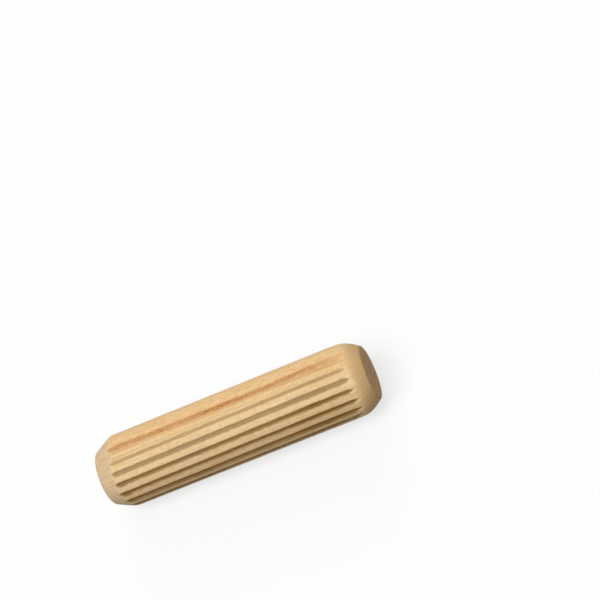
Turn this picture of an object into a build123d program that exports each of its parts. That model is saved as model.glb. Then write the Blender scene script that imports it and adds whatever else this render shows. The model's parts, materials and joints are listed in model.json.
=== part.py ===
from build123d import *
import math
import os

# Fluted wooden dowel pin, turned and grooved from one rod.
# The pin lies along X. The origin is on the surface it lies on, under its middle, and +Z is up.

# Driving dimensions in millimetres
pin_diameter = 10.0
pin_length = 39.0
end_diameter = 7.3
chamfer_length = 2.4
flute_count = 20
flute_depth = 0.22
flute_radius = 0.42

# Sizes that follow from them
pin_radius = pin_diameter / 2
end_radius = end_diameter / 2
half_length = pin_length / 2
shoulder = half_length - chamfer_length

# Each flute is a round groove whose centre line runs at this distance from the pin's own axis.
flute_offset = pin_radius - flute_depth + flute_radius

# The lowest flute faces straight down, so the pin rests on the edges of the two lands beside it.
land_edge_cosine = (pin_radius**2 + flute_offset**2 - flute_radius**2) / (2 * pin_radius * flute_offset)
rest_height = pin_radius * land_edge_cosine
half_flute_angle = math.degrees(math.acos(land_edge_cosine))

# The turned profile is drawn beside the pin's axis, and the flutes on the left end, bottom first.
axis_plane = Plane(origin=(0, 0, rest_height), x_dir=(1, 0, 0), z_dir=(0, -1, 0))
left_end_plane = Plane(origin=(-half_length, 0, rest_height), x_dir=(0, 0, -1), z_dir=(1, 0, 0))

with BuildPart() as dowel_pin:
    # Turned blank: a straight shank with a long conical chamfer to a flat face at each end
    with BuildSketch(axis_plane):
        with BuildLine():
            Polyline(
                (-half_length, 0),
                (-half_length, end_radius),
                (-shoulder, pin_radius),
                (shoulder, pin_radius),
                (half_length, end_radius),
                (half_length, 0),
                close=True,
            )
        make_face()
    revolve(axis=Axis(axis_plane.origin, axis_plane.x_dir))

    # Straight flutes along the whole shank, which run out through the chamfers in scallops
    with BuildSketch(left_end_plane):
        with PolarLocations(flute_offset, flute_count):
            Circle(flute_radius)
    extrude(amount=pin_length, mode=Mode.SUBTRACT)

dowel_pin.part.label = "dowel_pin"

os.makedirs("parts", exist_ok=True)
export_step(dowel_pin.part, "parts/dowel_pin.step")

land_angle = 360 / flute_count - 2 * half_flute_angle
print(f"land {land_angle:.2f} degrees wide, axis {rest_height:.4f} mm up, shank {2 * shoulder:.2f} mm long")
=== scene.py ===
"""A fluted wooden dowel pin, lying on a plain pale floor under soft light from above."""

import json
import math

import bpy
import numpy as np
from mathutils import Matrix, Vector


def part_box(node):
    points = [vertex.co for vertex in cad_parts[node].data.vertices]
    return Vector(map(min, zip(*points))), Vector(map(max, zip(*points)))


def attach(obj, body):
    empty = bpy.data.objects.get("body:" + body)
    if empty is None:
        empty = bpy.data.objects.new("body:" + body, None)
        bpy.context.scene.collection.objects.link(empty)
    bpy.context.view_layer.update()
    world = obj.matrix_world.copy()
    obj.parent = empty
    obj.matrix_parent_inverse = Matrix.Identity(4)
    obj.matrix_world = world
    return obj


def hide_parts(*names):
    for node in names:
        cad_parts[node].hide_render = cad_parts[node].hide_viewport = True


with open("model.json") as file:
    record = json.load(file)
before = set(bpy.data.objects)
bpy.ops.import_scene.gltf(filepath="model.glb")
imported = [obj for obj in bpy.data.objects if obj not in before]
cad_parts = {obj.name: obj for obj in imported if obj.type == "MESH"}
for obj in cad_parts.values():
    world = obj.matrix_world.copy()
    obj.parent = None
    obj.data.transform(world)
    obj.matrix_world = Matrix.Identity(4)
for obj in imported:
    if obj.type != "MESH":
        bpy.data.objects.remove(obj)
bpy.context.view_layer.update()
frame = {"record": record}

MM = 0.001
FULL_TURN = 2 * math.pi
SEED = 11


def srgb(red, green, blue):
    """A colour given as 0 to 255 screen values, as the linear colour that shaders take."""
    def linear(value):
        share = value / 255
        return share / 12.92 if share <= 0.04045 else ((share + 0.055) / 1.055) ** 2.4
    return (linear(red), linear(green), linear(blue), 1.0)


def tint(red, green, blue):
    """A linear colour to multiply another one by."""
    return (red, green, blue, 1.0)


def grey(share):
    """A grey of the given linear brightness."""
    return (share, share, share, 1.0)


# The pin's own sizes, from the frame
NODE = "dowel_pin"
PIECE = "dowel_pin_wood"
SHANK = next(mount for mount in frame["record"]["mounts"] if mount["name"] == "shank")
PIN_RADIUS = SHANK["dims"]["r_mm"] * MM
SHOULDER = SHANK["dims"]["length_mm"] * MM / 2
AXIS_HEIGHT = SHANK["pos_m"][2]
HALF_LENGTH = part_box(NODE)[1].x

# Flutes and end faces, as they are in the solid
FLUTE_COUNT = 20
FLUTE_DEPTH = 0.22 * MM
FLUTE_PITCH = FULL_TURN / FLUTE_COUNT
END_RADIUS = 3.65 * MM
CHAMFER_LENGTH = HALF_LENGTH - SHOULDER

# The flutes as they show: half their width at the ridges and at the floor, their share of the solid's
# depth, how far they all lie from the solid's, and how far they turn from the pin's middle to its ends.
# Angles go round the pin from straight down, first up the back and then down the front.
FLUTE_TOP = 0.385 * MM
FLUTE_FLOOR = 0.08 * MM
DEPTH_SHARE = 0.70
FLUTE_PHASE = math.radians(-1.0)
FLUTE_TWIST = math.radians(1.9)

# How far each flute's dark band reaches from its middle, and how many times as far towards greater angles:
# the band is partly painted shade, and its lean is painted shade alone
SHADE_BAND_REACH = 0.70 * MM
SHADE_BAND_LEAN = 1.21

# How unevenly the flutes were pressed, from one to the next and in waves along each one
DEPTH_SPREAD = 0.12
DEPTH_RIPPLE = 0.06
DEPTH_WAVES = (23 * MM, 9 * MM, 4 * MM)
WIDTH_SPREAD = 0.07
PLACE_SPREAD = math.radians(0.35)
PLACE_WANDER = 0.5 * PLACE_SPREAD
PLACE_WAVES = (31 * MM, 17 * MM)

# Wear on top: the most worn side, the share worn away at angles from there, and how far it narrows a flute
WORN_SIDE = math.radians(162)
WORN_ANGLES = [math.radians(turn) for turn in (-60, -20, 0, 75)]
WORN_SHARES = [0.0, 0.98, 0.98, 0.0]
WORN_NARROWING = 0.45

# For a while before the right end the flutes are darker, and wider on the side of lesser angles
RIGHT_START = 6 * MM
RIGHT_REACH = 7 * MM
RIGHT_FADE = 12 * MM
RIGHT_FADE_REACH = 4.5 * MM
RIGHT_WIDER = 0.14
RIGHT_DARKER = 0.10

# One flute near the top is narrower than its neighbours, darker, and lies a little further forward
ODD_FLUTE = 11
ODD_SHIFT = math.radians(0.8)
ODD_WIDTH = 0.82
ODD_KEPT = 1.12

# The pin's section is slightly oval, and its edges are soft and a little frayed
OVAL = 0.06 * MM
OVAL_SIDE = math.radians(126)
EDGE_SOFTNESS = 0.09 * MM
EDGE_BURR = 0.02 * MM
FRAY_WIDTH = 0.14 * MM
RIM_ROUND = 0.25 * MM

# Each chamfer bulges a little between its rim and its edge with the shank. That edge wanders, runs round
# at a slant and in a saddle, and has a nick: a size comes with the angle where it moves the edge furthest
# in, or makes the rim widest. Just before the edge the floors of the flutes rise by the lift.
EDGE_WANDER = 0.10 * MM
WANDER_LOBES = (5, 9, 14)
NICK_WIDTH = math.radians(8)
RUN_OUT_LENGTH = 1.0 * MM
LEFT_END = {
    "rim": END_RADIUS + 0.14 * MM,
    "bulge": 0.03 * MM,
    "longer": 0.06 * MM,
    "slant": (0.13 * MM, math.radians(259)),
    "saddle": (0.25 * MM, math.radians(173)),
    "lift": 0.02 * MM,
    "off_centre": (0.11 * MM, math.radians(290)),
    "nick": (0.33 * MM, math.radians(190)),
}
RIGHT_END = {
    "rim": END_RADIUS,
    "bulge": 0.17 * MM,
    "longer": 0.0,
    "slant": (0.36 * MM, math.radians(45)),
    "saddle": (0.0, 0.0),
    "lift": 0.075 * MM,
    "off_centre": (0.0, 0.0),
    "nick": (0.0, 0.0),
}

# Towards a chamfer the dark bands grow weaker, over a length that differs from flute to flute, and the cut
# grain reaches further in along the flutes than along the ridges, in fingers. CUT_BLEND is how far from the
# edge the grain is wholly cut or wholly uncut. The shank's rows count as that far from the right edge.
CUT_BLEND = 1.0 * MM
LEFT_TAPER = {"share": 0.14, "length": 0.30 * MM, "fingers": 0.06 * MM}
RIGHT_TAPER = {"share": 0.60, "length": 0.95 * MM, "fingers": 0.28 * MM}
TAPER_SPREAD = (0.6, 1.7)

# Mesh density, with the distances of the rings next to a chamfer's edge
COLUMNS_PER_FLUTE = 30
COLUMNS = FLUTE_COUNT * COLUMNS_PER_FLUTE
SHANK_ROWS = 64
CHAMFER_ROWS = 10
RIM_STEPS = 5
FACE_RINGS = 8
EDGE_OFFSETS = [offset * MM for offset in (0.5, 0.3, 0.18, 0.1, 0.05)]
RUN_OUT_OFFSETS = [offset * MM for offset in (1.0, 0.75)]
LEFT_ROW = 0
RIGHT_ROW = -1

# In what follows the wood's own sizes and places are in millimetres from the middle of the pin's axis, and
# a pair holds what a soft step starts from and ends at.

# Noise in the wood: the size of its patches along X, Y and Z, or for the rays along the pin, outwards from
# the tree's heart and round it, and what differs from the node's own values
ENDLESS = 1e6
NOISES = {
    "broad": {"size": (28, 1.8, 1.8), "Detail": 3, "Distortion": 0.4},
    "fibres": {"size": (8, 0.2, 0.2), "Detail": 4, "Roughness": 0.6},
    "mottle": {"size": (2.2, 0.6, 0.6), "Detail": 3},
    "blotches": {"size": (0.9, 0.5, 0.5)},
    "flecks": {"size": (0.6, 0.14, 0.14), "Detail": 1},
    "fine_pores": {"size": (0.25, 0.12, 0.12), "Detail": 1},
    "flute_edges": {"size": (0.8, 0.25, 0.25)},
    "line_edges": {"size": (1.5, 0.2, 0.2)},
    "streak_wander": {"size": (6.0, ENDLESS, ENDLESS)},
    "streak_strength": {"size": (4.0, ENDLESS, ENDLESS)},
    "streak_edges": {"size": (0.9, 0.2, 0.2)},
    "streak_dots": {"size": (0.34, 0.24, 0.24), "Detail": 1},
    "cut_pores": {"size": (0.7, 0.14, 0.14), "Roughness": 0.6},
    "cut_cloud": {"size": (2.4, 1.1, 1.1), "Detail": 3},
    "cut_lines": {"size": (6.0, 0.35, 0.35)},
    "ring_sway": {"size": (20, 4.0, 4.0)},
    "rays": {"size": (3.0, 1.2, 0.10), "Detail": 1},
    "edge_fuzz": {"size": (0.3, 0.15, 0.15)},
}
WIDE_RANGE = (0.2, 0.8)
EVEN_RANGE = (0.3, 0.7)

# Long grain: its two main colours, and the layers over them, first the lowest
PALE_WOOD = srgb(250, 221, 170)
DARKER_WOOD = srgb(243, 210, 156)
FLECK_RANGE = (0.60, 0.72)
LONG_GRAIN = (
    {"noise": "fibres", "between": (0.30, 0.75), "share": 0.32, "colour": srgb(252, 228, 182)},
    {"noise": "fibres", "between": (0.60, 0.30), "share": 0.26, "colour": srgb(226, 185, 126)},
    {"noise": "mottle", "between": (0.45, 0.75), "share": 0.30, "colour": srgb(233, 192, 131)},
    {"noise": "blotches", "between": (0.35, 0.65), "share": 1.0, "colour": tint(0.97, 0.93, 0.87),
     "blend": "MULTIPLY"},
    {"noise": "flecks", "between": FLECK_RANGE, "share": 0.36, "colour": srgb(196, 138, 76)},
    {"noise": "fine_pores", "between": (0.54, 0.72), "share": 0.52, "colour": srgb(206, 150, 88)},
)

# The wood gets a little more orange over this stretch of Y, towards the streak
WARM_FROM = (-3.0, 0.6)
WARM_TINT = tint(1.02, 0.92, 0.82)

# The flutes' dark bands, partly the wood's own colour and partly painted shade in the grooves: how ragged
# their edges are, which nearness to a flute shows, and how far the mottle lightens them
FLUTE_RAGGED = 0.06
FLUTE_SHADE_FROM = (0.21, 0.74)
FLUTE_MOTTLE_RANGE = (0.25, 0.75)
FLUTE_MOTTLE = (1.0, 0.88)
FLUTE_SHADE_TINT = tint(0.24, 0.135, 0.0)

# The streak and the faint lines show only on the pin's upper side, from this height over its axis
TOP_SIDE = (3.4, 4.4)

# Faint lines where flutes are worn away: their Y at the pin's middle, their strength to the left and right
# and where it changes, how far back they drift for each millimetre along the pin, and half their width
WORN_LINES = (
    {"y": -0.31, "shares": (0.46, 0.66)},
    {"y": -0.98, "shares": (0.44, 0.24)},
)
LINE_CHANGE = (-12.0, 14.0)
LINE_DRIFT = 0.0085
LINE_WIDTH = (0.26, 0.04)
LINE_RAGGED = 0.08
LINE_TINT = tint(0.70, 0.69, 0.67)

# The streak: its Y before and after a bend, how it wanders, half its width, and how ragged its edges are
STREAK_Y = (0.36, 0.74)
STREAK_BEND = (5.5, 15.0)
STREAK_WANDER = 0.09
STREAK_WIDTH = (0.45, 0.20)
STREAK_RAGGED = 0.12
STREAK_COLOUR = srgb(207, 144, 74)

# Its strength: most around the pin's middle, uneven, stronger again further right, and fading at the end
STREAK_STRENGTH = (0.74, 0.98)
STREAK_MIDDLE = (5.0, 1.0)
STREAK_UNEVEN = (-0.06, 0.06)
STREAK_AGAIN = (0.0, 0.18)
STREAK_AGAIN_FROM = (8.0, 12.0)
STREAK_END = (20.5, 9.5)

# The dots in it
DOT_RANGE = (0.42, 0.64)
DOT_SHARES = (0.0, 0.80)
DOT_COLOUR = srgb(166, 101, 40)

# The paler band beside it: half its width, where it stops behind the streak, and its strength along X
HALO_WIDTH = (1.0, 0.40)
HALO_SHARES = (0.0, 0.45)
HALO_BACK = (0.70, 0.42)
HALO_FADE = (-4.0, 5.0)
HALO_FADE_SHARES = (1.0, 0.15)
HALO_COLOUR = srgb(224, 170, 108)

# Cut grain on the chamfers: the left one is cloudy, the right one darker towards its rim
LEFT_CUT = srgb(231, 203, 163)
LEFT_CUT_CLOUD = srgb(221, 189, 145)
RIGHT_CUT = srgb(246, 205, 148)
RIGHT_CUT_RIM = srgb(232, 191, 135)
RIGHT_RIM_FROM = (17.0, 19.2)
LEFT_TO_RIGHT = (-8, 8)
CUT_GRAIN = (
    {"noise": "cut_lines", "between": (0.50, 0.72), "share": 0.30, "colour": srgb(214, 168, 110)},
    {"noise": "cut_pores", "between": (0.52, 0.72), "share": 0.28, "colour": srgb(190, 146, 94)},
)

# End grain on the faces. The tree's heart lay at this Y and Z, beside the pin. Each growth ring darkens
# outwards to its late wood, and ends sharply there. RING_SWAY is a share of the rings' distance.
END_FROM = (HALF_LENGTH / MM - 0.2, HALF_LENGTH / MM - 0.02)
END_TINT = tint(1.0, 0.92, 0.83)
HEART = (-6.0, -13.0)
RING_GAP = 1.5
RING_SWAY = 0.16
LATE_FROM = (0.25, 0.93)
LATE_SHARES = (0.0, 0.62)
LATE_END = (1.0, 0.93)
LATE_TINT = tint(0.78, 0.68, 0.56)
RAYS = {"noise": "rays", "between": (0.56, 0.72), "share": 0.40, "colour": tint(1.12, 1.12, 1.10),
        "blend": "MULTIPLY"}
OPEN_PORES = {"noise": "cut_pores", "between": (0.52, 0.68), "share": 0.55, "colour": tint(0.70, 0.60, 0.50),
              "blend": "MULTIPLY"}

# The edge between long grain and cut grain, at half of the cut attribute: its fuzz, where the colour
# changes, and the pale line along it
EDGE_MIDDLE = 0.5
EDGE_FUZZ = 0.10
CUT_FROM = (0.44, 0.60)
EDGE_LINE_WIDTH = (0.09, 0.02)
EDGE_LINE_SHARES = (0.0, 0.2)
EDGE_LINE_COLOUR = srgb(250, 224, 176)

# The wood's surface: how far each kind of grain stands up or lies deeper, and its gloss
FIBRE_RELIEF = 0.7
FLECK_RELIEF = -0.25
PORE_RELIEF = -0.4
BUMP_STRENGTH = 0.35
BUMP_DEPTH = 0.05 * MM
ROUGHNESS = (0.58, 0.72)

# The photograph's view, in a picture 600 pixels wide and high
PICTURE_PX = 600
FOCAL_PX = 1800
SENSOR_MM = 36
CAMERA_PLACE = (61.28 * MM, -138.57 * MM, 192.26 * MM)
CAMERA_TURN = (35.047, 22.536, -11.076)
CAMERA_CLIP = 10 * MM

# Light: how much of a white surface's full brightness each lamp gives, and where it stands
LAMP_DISTANCE = 1.4
LAMP_WIDTH = 0.9
LAMPS = {
    "overhead": {"share": 0.63, "towards": (-0.28, -0.40, 1.0)},
    "front_fill": {"share": 0.125, "towards": (0.0, -1.0, 1.40)},
    "back_fill": {"share": 0.25, "towards": (0.0, 1.0, 0.40)},
}
ROOM_LIGHT = 0.22
WHITE = grey(1.0)

# The floor: half its width, how dark a full shadow on it is, and how much light it throws back at the pin
FLOOR_REACH = 4.0
FLOOR_SHADED = 0.30
FLOOR_BOUNCE = 0.05
FLOOR_ROUGHNESS = 0.9


# Shape of the pin
def wrapped(angle):
    """The same angle between minus and plus half a turn."""
    return (angle + math.pi) % FULL_TURN - math.pi


def waves(rng, along, lengths):
    """A smooth wandering line between about -1 and 1, a sum of waves of the given lengths."""
    total = np.zeros_like(along)
    for length in lengths:
        total += np.sin(FULL_TURN * along / length + rng.uniform(0, FULL_TURN))
    return total / len(lengths)


def smooth(share):
    """A soft step from 0 to 1."""
    share = np.clip(share, 0, 1)
    return share * share * (3 - 2 * share)


def flute_forms(rng, angles, along):
    """The flutes at each place along the pin (rows) and angle (columns).

    Gives the depth under the ridges, the nearness to a flute, and the share of its dark band that is kept.
    """
    depth = np.zeros((len(along), len(angles)))
    flute_nearness = np.zeros((len(along), len(angles)))
    kept = np.zeros((len(along), len(angles)))
    faded = smooth((along - RIGHT_FADE) / RIGHT_FADE_REACH)
    right = smooth((along - RIGHT_START) / RIGHT_REACH) * (1 - faded)
    right = right[:, None]
    for flute in range(FLUTE_COUNT):
        centre = flute * FLUTE_PITCH
        worn = np.interp(wrapped(centre - WORN_SIDE), WORN_ANGLES, WORN_SHARES)
        own_depth = DEPTH_SHARE * FLUTE_DEPTH * (1 - worn) * (1 + DEPTH_SPREAD * rng.uniform(-1, 1))
        own_width = (1 - WORN_NARROWING * worn) * (1 + WIDTH_SPREAD * rng.uniform(-1, 1))
        own_place = centre + FLUTE_PHASE + PLACE_SPREAD * rng.uniform(-1, 1)
        place = own_place - FLUTE_TWIST * along / HALF_LENGTH + PLACE_WANDER * waves(rng, along, PLACE_WAVES)
        own_kept = 1 - worn
        if flute == ODD_FLUTE:
            place = place + ODD_SHIFT
            own_width *= ODD_WIDTH
            own_kept *= ODD_KEPT
        deep = own_depth * (1 + DEPTH_RIPPLE * waves(rng, along, DEPTH_WAVES))
        side = PIN_RADIUS * wrapped(angles[None, :] - place[:, None]) / own_width
        side = np.where(side < 0, side / (1 + RIGHT_WIDER * right), side)
        depth += deep[:, None] * smooth((FLUTE_TOP - np.abs(side)) / (FLUTE_TOP - FLUTE_FLOOR))
        reach = np.where(side > 0, SHADE_BAND_LEAN, 1) * SHADE_BAND_REACH
        near = np.clip(1 - np.abs(side) / reach, 0, 1)
        flute_nearness += near
        kept += own_kept * (1 + RIGHT_DARKER * right) * (near > 0)
    return depth, flute_nearness, kept


def soft_lesser(a, b):
    """The lesser of two radii, with the corner between them rounded off."""
    low = np.minimum(a, b)
    return low - EDGE_SOFTNESS * np.log1p(np.exp(-np.abs(a - b) / EDGE_SOFTNESS))


def end_rings(rng, ridge, depth, angles, rim, bulge, longer, slant, saddle, lift, off_centre, nick):
    """Rings of one end, from the shank to the face.

    Each is its distance from the pin's middle, its radius, and its offset from the chamfer's edge.
    """
    burr = EDGE_BURR * rng.uniform(0, 1, COLUMNS)
    length = CHAMFER_LENGTH + longer + slant[0] * np.cos(angles - slant[1])
    length += saddle[0] * np.cos(2 * (angles - saddle[1]))
    length += nick[0] * np.exp(-(wrapped(angles - nick[1]) / NICK_WIDTH) ** 2)
    for lobes in WANDER_LOBES:
        length += EDGE_WANDER / len(WANDER_LOBES) * np.cos(lobes * angles + rng.uniform(0, FULL_TURN))

    # The cone's outline is a parabola that stands the bulge's height over a straight line halfway along
    rim = rim + off_centre[0] * np.cos(angles - off_centre[1])
    slope = (PIN_RADIUS - rim) / length + 4 * bulge / length
    curve = 4 * bulge / length ** 2

    def cone(distance):
        inwards = HALF_LENGTH - distance
        return rim + slope * inwards - curve * inwards ** 2

    def shank(offset):
        raised = lift * (1 - smooth(-offset / RUN_OUT_LENGTH))
        return ridge - np.maximum(depth - raised, 0)

    under = np.maximum(slope ** 2 - 4 * curve * (shank(0) - rim), 0)
    meet = HALF_LENGTH - (slope - np.sqrt(under)) / (2 * curve)
    rings = []
    before = [-offset for offset in RUN_OUT_OFFSETS + EDGE_OFFSETS]
    for offset in before + [0] + EDGE_OFFSETS[::-1]:
        distance = meet + offset
        fray = math.exp(-(offset / FRAY_WIDTH) ** 2)
        rings.append((distance, soft_lesser(shank(offset), cone(distance)) + fray * burr, offset))

    # The rim between chamfer and face is a small arc that leaves the cone along its slope
    turn = math.pi / 2 - np.arctan(slope)
    flat_radius = rim - RIM_ROUND * np.tan(turn / 2)
    arc = []
    for share in np.linspace(1, 0, RIM_STEPS + 1):
        distance = HALF_LENGTH - RIM_ROUND * (1 - np.cos(share * turn))
        arc.append((distance, flat_radius + RIM_ROUND * np.sin(share * turn), CUT_BLEND))

    start = rings[-1][0]
    for step in range(1, CHAMFER_ROWS):
        distance = start + (arc[0][0] - start) * step / CHAMFER_ROWS
        rings.append((distance, soft_lesser(shank(0), cone(distance)), CUT_BLEND))
    rings += arc
    for share in np.linspace(1, 0, FACE_RINGS + 1)[1:-1]:
        rings.append((np.full(COLUMNS, HALF_LENGTH), flat_radius * share, CUT_BLEND))
    return rings


def grid_faces(ring_count, left_centre, right_centre):
    """Faces between neighbouring rings, and from the first and last ring to the centre of their face."""
    faces = []
    last = (ring_count - 1) * COLUMNS
    for column in range(COLUMNS):
        after = (column + 1) % COLUMNS
        faces.append((left_centre, column, after))
        faces.append((right_centre, last + after, last + column))
        for ring in range(ring_count - 1):
            low, high = ring * COLUMNS, (ring + 1) * COLUMNS
            faces.append((low + column, high + column, high + after, low + after))
    return faces


def add_attributes(rng, mesh, rings, angles, flute_nearness, kept):
    """What the material has to know: the flutes, their wear, and where the chamfers cut across the grain."""
    nearest = np.rint(angles / FLUTE_PITCH).astype(int) % FLUTE_COUNT
    own_taper = rng.uniform(*TAPER_SPREAD, (2, FLUTE_COUNT))[:, nearest]
    values = {"flute_nearness": [], "kept": [], "cut": []}
    for _, _, offset, row in rings:
        taper = LEFT_TAPER if row == LEFT_ROW else RIGHT_TAPER
        reach = taper["length"] * own_taper[0 if row == LEFT_ROW else 1]
        from_edge = offset + taper["fingers"] * (2 * np.clip(flute_nearness[row], 0, 1) - 1)
        values["flute_nearness"].append(flute_nearness[row] - taper["share"] * (1 - smooth(-offset / reach)))
        values["kept"].append(kept[row])
        values["cut"].append(np.clip(0.5 + 0.5 * from_edge / CUT_BLEND, 0, 1))
    both_centres = [1, 1]
    for name, parts in values.items():
        attribute = mesh.attributes.new(name, "FLOAT", "POINT")
        attribute.data.foreach_set("value", np.concatenate(parts + [both_centres]))


def pin_mesh():
    """The pin as one closed grid of rings: end face, chamfer, shank, chamfer, end face."""
    rng = np.random.RandomState(SEED)
    angles = np.arange(COLUMNS) * FULL_TURN / COLUMNS
    shares = np.linspace(-1, 1, SHANK_ROWS + 2)
    depth, flute_nearness, kept = flute_forms(rng, angles, shares * SHOULDER)
    ridge = PIN_RADIUS + OVAL * np.cos(2 * (angles - OVAL_SIDE))
    left = end_rings(rng, ridge, depth[LEFT_ROW], angles, **LEFT_END)
    right = end_rings(rng, ridge, depth[RIGHT_ROW], angles, **RIGHT_END)
    rings = [(-distance, r, offset, LEFT_ROW) for distance, r, offset in reversed(left)]
    for row in range(1, SHANK_ROWS + 1):
        reach = left[0][0] if shares[row] < 0 else right[0][0]
        rings.append((shares[row] * reach, ridge - depth[row], -CUT_BLEND, row))
    rings += [(distance, r, offset, RIGHT_ROW) for distance, r, offset in right]

    verts = []
    for distance, r, _, _ in rings:
        verts.append(np.column_stack([distance, r * np.sin(angles), AXIS_HEIGHT - r * np.cos(angles)]))
    verts.append([[-HALF_LENGTH, 0, AXIS_HEIGHT], [HALF_LENGTH, 0, AXIS_HEIGHT]])
    verts = np.concatenate(verts)
    faces = grid_faces(len(rings), len(verts) - 2, len(verts) - 1)
    mesh = bpy.data.meshes.new(PIECE)
    mesh.from_pydata(verts.tolist(), [], faces)
    mesh.update()
    mesh.polygons.foreach_set("use_smooth", [True] * len(faces))
    add_attributes(rng, mesh, rings, angles, flute_nearness, kept)
    return mesh


# Materials
class Graph:
    """A short way to write a material's nodes: a call adds its nodes and returns their output."""

    def __init__(self, name):
        self.material = bpy.data.materials.new(name)
        self.material.use_nodes = True
        self.tree = self.material.node_tree
        self.shader = self.tree.nodes["Principled BSDF"]
        self.noises = {}

    def put(self, socket, value):
        if isinstance(value, bpy.types.NodeSocket):
            self.tree.links.new(value, socket)
        else:
            socket.default_value = value

    def add(self, kind, inputs, output=0, **settings):
        node = self.tree.nodes.new(kind)
        for key, value in settings.items():
            setattr(node, key, value)
        for key, value in inputs.items():
            self.put(node.inputs[key], value)
        return node.outputs[output]

    def attribute(self, name):
        return self.add("ShaderNodeAttribute", {}, output="Fac", attribute_name=name)

    def vector(self, operation, a, b):
        return self.add("ShaderNodeVectorMath", {0: a, 1: b}, operation=operation)

    def math(self, operation, a, b=0.0):
        return self.add("ShaderNodeMath", {0: a, 1: b}, operation=operation)

    def plus(self, a, b):
        return self.math("ADD", a, b)

    def times(self, first, *others):
        product = first
        for factor in others:
            product = self.math("MULTIPLY", product, factor)
        return product

    def axis(self, place, name):
        return self.add("ShaderNodeSeparateXYZ", {0: place}, output=name)

    def noise(self, name, place):
        """The named noise. It is made once, at the places that it is first asked for."""
        if name not in self.noises:
            inputs = {key: value for key, value in NOISES[name].items() if key != "size"}
            inputs["Vector"] = self.vector("DIVIDE", place, NOISES[name]["size"])
            inputs["Scale"] = 1.0
            self.noises[name] = self.add("ShaderNodeTexNoise", inputs)
        return self.noises[name]

    def step(self, value, between, gives=(0.0, 1.0)):
        """A soft step from the first of gives to the second, between the two given values."""
        inputs = {"Value": value, "From Min": between[0], "From Max": between[1]}
        inputs.update({"To Min": gives[0], "To Max": gives[1]})
        return self.add("ShaderNodeMapRange", inputs, interpolation_type="SMOOTHSTEP")

    def sway(self, name, place, reach):
        """The named noise as a value between minus and plus the reach."""
        return self.step(self.noise(name, place), WIDE_RANGE, (-reach, reach))

    def mix(self, share, a, b, blend="MIX"):
        inputs = {0: share, 6: a, 7: b}
        return self.add("ShaderNodeMix", inputs, output=2, data_type="RGBA", blend_type=blend)

    def layer(self, place, under, noise, between, share, colour, blend="MIX"):
        """The colour under it, with up to the given share of another one where the named noise says so."""
        return self.mix(self.step(self.noise(noise, place), between, (0.0, share)), under, colour, blend)

    def finish(self, colour, roughness, height, strength, distance):
        self.put(self.shader.inputs["Base Color"], colour)
        self.put(self.shader.inputs["Roughness"], roughness)
        inputs = {"Height": height, "Strength": strength, "Distance": distance}
        self.put(self.shader.inputs["Normal"], self.add("ShaderNodeBump", inputs))
        return self.material

    def millimetres(self):
        """Places in the wood in millimetres, from the middle of the pin's axis."""
        place = self.add("ShaderNodeTexCoord", {}, output="Object")
        place = self.vector("SUBTRACT", place, (0, 0, AXIS_HEIGHT))
        return self.vector("DIVIDE", place, (MM, MM, MM))


def streak_strength(g, place):
    """How strongly the streak shows: only on top, and not the same all along the pin."""
    x = g.axis(place, "X")
    strength = g.step(g.math("ABSOLUTE", x), STREAK_MIDDLE, STREAK_STRENGTH)
    strength = g.plus(strength, g.step(g.noise("streak_strength", place), EVEN_RANGE, STREAK_UNEVEN))
    strength = g.plus(strength, g.step(x, STREAK_AGAIN_FROM, STREAK_AGAIN))
    return g.times(g.step(g.axis(place, "Z"), TOP_SIDE), g.step(x, STREAK_END), strength)


def orange_streak(g, place, colour):
    """Colour with the darker streak: a thin sheet in the wood, full of dots, that shows along the top."""
    x = g.axis(place, "X")
    middle = g.plus(g.step(x, STREAK_BEND, STREAK_Y), g.sway("streak_wander", place, STREAK_WANDER))
    side = g.math("SUBTRACT", g.axis(place, "Y"), middle)
    off = g.plus(g.math("ABSOLUTE", side), g.sway("streak_edges", place, STREAK_RAGGED))
    shown = streak_strength(g, place)
    sheet = g.times(shown, g.step(off, STREAK_WIDTH))
    halo = g.times(shown, g.step(off, HALO_WIDTH, HALO_SHARES), g.step(side, HALO_BACK))
    halo = g.times(halo, g.step(x, HALO_FADE, HALO_FADE_SHARES))
    dots = g.step(g.noise("streak_dots", place), DOT_RANGE, DOT_SHARES)
    streak = g.mix(dots, STREAK_COLOUR, DOT_COLOUR)
    return g.mix(sheet, g.mix(halo, colour, HALO_COLOUR), streak)


def worn_lines(g, place, colour):
    """Colour with the faint dark lines that are left of flutes worn away on top."""
    x = g.axis(place, "X")
    y = g.math("SUBTRACT", g.axis(place, "Y"), g.times(x, LINE_DRIFT))
    ragged = g.sway("line_edges", place, LINE_RAGGED)
    top = g.step(g.axis(place, "Z"), TOP_SIDE)
    for line in WORN_LINES:
        off = g.plus(g.math("ABSOLUTE", g.math("SUBTRACT", y, line["y"])), ragged)
        near = g.times(top, g.step(off, LINE_WIDTH), g.step(x, LINE_CHANGE, line["shares"]))
        colour = g.mix(near, colour, LINE_TINT, "MULTIPLY")
    return colour


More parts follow.
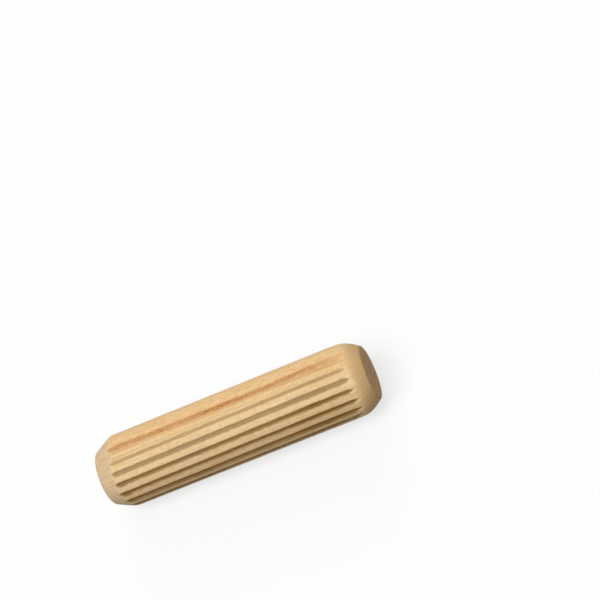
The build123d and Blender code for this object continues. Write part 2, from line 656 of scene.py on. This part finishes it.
def long_grain(g, place):
    """Colour along the shank: pale hardwood with flecks and pores, darker flutes partly of painted shade,
    and one orange streak.
    """
    colour = g.mix(g.step(g.noise("broad", place), EVEN_RANGE), PALE_WOOD, DARKER_WOOD)
    for layer in LONG_GRAIN:
        colour = g.layer(place, colour, **layer)
    colour = g.mix(g.step(g.axis(place, "Y"), WARM_FROM), colour, WARM_TINT, "MULTIPLY")

    # The flutes are darker than the ridges, with slightly ragged edges: partly the colour that pressing left
    # in them, partly painted shade in the grooves
    near = g.plus(g.attribute("flute_nearness"), g.sway("flute_edges", place, FLUTE_RAGGED))
    mottled = g.step(g.noise("mottle", place), FLUTE_MOTTLE_RANGE, FLUTE_MOTTLE)
    dark = g.times(g.step(near, FLUTE_SHADE_FROM), g.attribute("kept"), mottled)
    colour = g.mix(dark, colour, FLUTE_SHADE_TINT, "MULTIPLY")
    return orange_streak(g, place, worn_lines(g, place, colour))


def ring_places(g, place):
    """The same places as the tree grew them: along the pin, out from the tree's heart, and round it."""
    away = g.vector("SUBTRACT", place, (0, *HEART))
    y, z = g.axis(away, "Y"), g.axis(away, "Z")
    out = g.math("SQRT", g.plus(g.times(y, y), g.times(z, z)))
    turn = g.times(g.math("ARCTAN2", z, y), math.hypot(*HEART))
    return g.add("ShaderNodeCombineXYZ", {0: g.axis(place, "X"), 1: out, 2: turn})


def end_grain(g, place, colour):
    """Colour of the flat ends, sawn square across the grain: darker, with growth rings, rays and pores."""
    grown = ring_places(g, place)
    rings = g.math("DIVIDE", g.axis(grown, "Y"), RING_GAP)
    ring = g.math("FRACT", g.plus(rings, g.sway("ring_sway", place, RING_SWAY)))
    late = g.times(g.step(ring, LATE_FROM, LATE_SHARES), g.step(ring, LATE_END))
    colour = g.mix(1.0, colour, END_TINT, "MULTIPLY")
    colour = g.mix(late, colour, LATE_TINT, "MULTIPLY")
    colour = g.layer(grown, colour, **RAYS)
    return g.layer(place, colour, **OPEN_PORES)


def cut_grain(g, place):
    """Colour where chamfers and ends cut across the grain: paler, with short pores and faint lines."""
    x = g.axis(place, "X")
    left = g.mix(g.step(g.noise("cut_cloud", place), EVEN_RANGE), LEFT_CUT, LEFT_CUT_CLOUD)
    right = g.mix(g.step(x, RIGHT_RIM_FROM), RIGHT_CUT, RIGHT_CUT_RIM)
    colour = g.mix(g.step(x, LEFT_TO_RIGHT), left, right)
    for layer in CUT_GRAIN:
        colour = g.layer(place, colour, **layer)
    flat = g.step(g.math("ABSOLUTE", x), END_FROM)
    return g.mix(flat, colour, end_grain(g, place, colour))


def wood():
    """The pin's wood: long grain on the shank, cut grain on the ends, and a frayed edge between them."""
    g = Graph("pale_hardwood")
    place = g.millimetres()
    edge = g.plus(g.attribute("cut"), g.sway("edge_fuzz", place, EDGE_FUZZ))
    cut = g.step(edge, CUT_FROM)
    colour = g.mix(cut, long_grain(g, place), cut_grain(g, place))
    beside = g.math("ABSOLUTE", g.math("SUBTRACT", edge, EDGE_MIDDLE))
    colour = g.mix(g.step(beside, EDGE_LINE_WIDTH, EDGE_LINE_SHARES), colour, EDGE_LINE_COLOUR)

    fibres = g.times(g.noise("fibres", place), FIBRE_RELIEF)
    flecks = g.times(g.step(g.noise("flecks", place), FLECK_RANGE), FLECK_RELIEF)
    pores = g.times(g.noise("cut_pores", place), PORE_RELIEF)
    relief = g.add("ShaderNodeMix", {0: cut, 2: g.plus(fibres, flecks), 3: pores})
    roughness = g.step(g.noise("mottle", place), EVEN_RANGE, ROUGHNESS)
    return g.finish(colour, roughness, relief, BUMP_STRENGTH, BUMP_DEPTH)


# The scene around it
def add_pin():
    pin = bpy.data.objects.new(PIECE, pin_mesh())
    bpy.context.scene.collection.objects.link(pin)
    pin.data.materials.append(wood())
    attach(pin, "root")
    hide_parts(NODE)


def seen_by_eye(tree):
    """1 for what the camera sees, directly or in a reflection, and 0 for the light that it casts."""
    rays = tree.nodes.new("ShaderNodeLightPath")
    seen = rays.outputs["Is Camera Ray"]
    for kind in ("Is Glossy Ray", "Is Transmission Ray"):
        either = tree.nodes.new("ShaderNodeMath")
        either.operation = "MAXIMUM"
        tree.links.new(seen, either.inputs[0])
        tree.links.new(rays.outputs[kind], either.inputs[1])
        seen = either.outputs[0]
    return seen


def add_floor():
    """A pale floor that the camera sees as white, apart from the pin's own shadow."""
    reach = FLOOR_REACH
    mesh = bpy.data.meshes.new("floor")
    corners = [(-reach, -reach, 0), (reach, -reach, 0), (reach, reach, 0), (-reach, reach, 0)]
    mesh.from_pydata(corners, [], [(0, 1, 2, 3)])
    floor = bpy.data.objects.new("floor", mesh)
    bpy.context.scene.collection.objects.link(floor)
    g = Graph("pale_floor")
    seen = seen_by_eye(g.tree)
    g.put(g.shader.inputs["Base Color"], g.mix(seen, grey(FLOOR_BOUNCE), grey(FLOOR_SHADED)))
    g.put(g.shader.inputs["Roughness"], FLOOR_ROUGHNESS)
    g.put(g.shader.inputs["Emission Color"], WHITE)
    g.put(g.shader.inputs["Emission Strength"], g.times(seen, 1 - FLOOR_SHADED))
    mesh.materials.append(g.material)


def add_lamp(name, share, towards):
    """A round softbox that lights a white surface facing it to the given share of full brightness."""
    lamp = bpy.data.lights.new(name, "AREA")
    lamp.shape = "DISK"
    lamp.size = LAMP_WIDTH
    lamp.energy = share * (math.pi * LAMP_DISTANCE) ** 2
    light = bpy.data.objects.new(name, lamp)
    bpy.context.scene.collection.objects.link(light)
    direction = Vector(towards).normalized()
    light.location = Vector((0, 0, AXIS_HEIGHT)) + LAMP_DISTANCE * direction
    light.rotation_mode = "QUATERNION"
    light.rotation_quaternion = direction.to_track_quat("Z", "Y")


def add_room():
    """Even light from all round, in a room that the camera sees as white."""
    world = bpy.data.worlds.new("soft_room")
    bpy.context.scene.world = world
    world.use_nodes = True
    tree = world.node_tree
    background = tree.nodes["Background"]
    background.inputs["Color"].default_value = WHITE
    strength = tree.nodes.new("ShaderNodeMapRange")
    tree.links.new(seen_by_eye(tree), strength.inputs["Value"])
    strength.inputs["To Min"].default_value = ROOM_LIGHT
    strength.inputs["To Max"].default_value = 1.0
    tree.links.new(strength.outputs[0], background.inputs["Strength"])


def add_camera():
    data = bpy.data.cameras.new("photo_view")
    data.sensor_width = SENSOR_MM
    data.lens = SENSOR_MM * FOCAL_PX / PICTURE_PX
    data.clip_start = CAMERA_CLIP
    camera = bpy.data.objects.new("photo_view", data)
    bpy.context.scene.collection.objects.link(camera)
    camera.location = CAMERA_PLACE
    camera.rotation_euler = [math.radians(turn) for turn in CAMERA_TURN]
    bpy.context.scene.camera = camera


add_pin()
add_floor()
for lamp_name, lamp_values in LAMPS.items():
    add_lamp(lamp_name, **lamp_values)
add_room()
add_camera()
bpy.context.scene.view_settings.view_transform = "Standard"
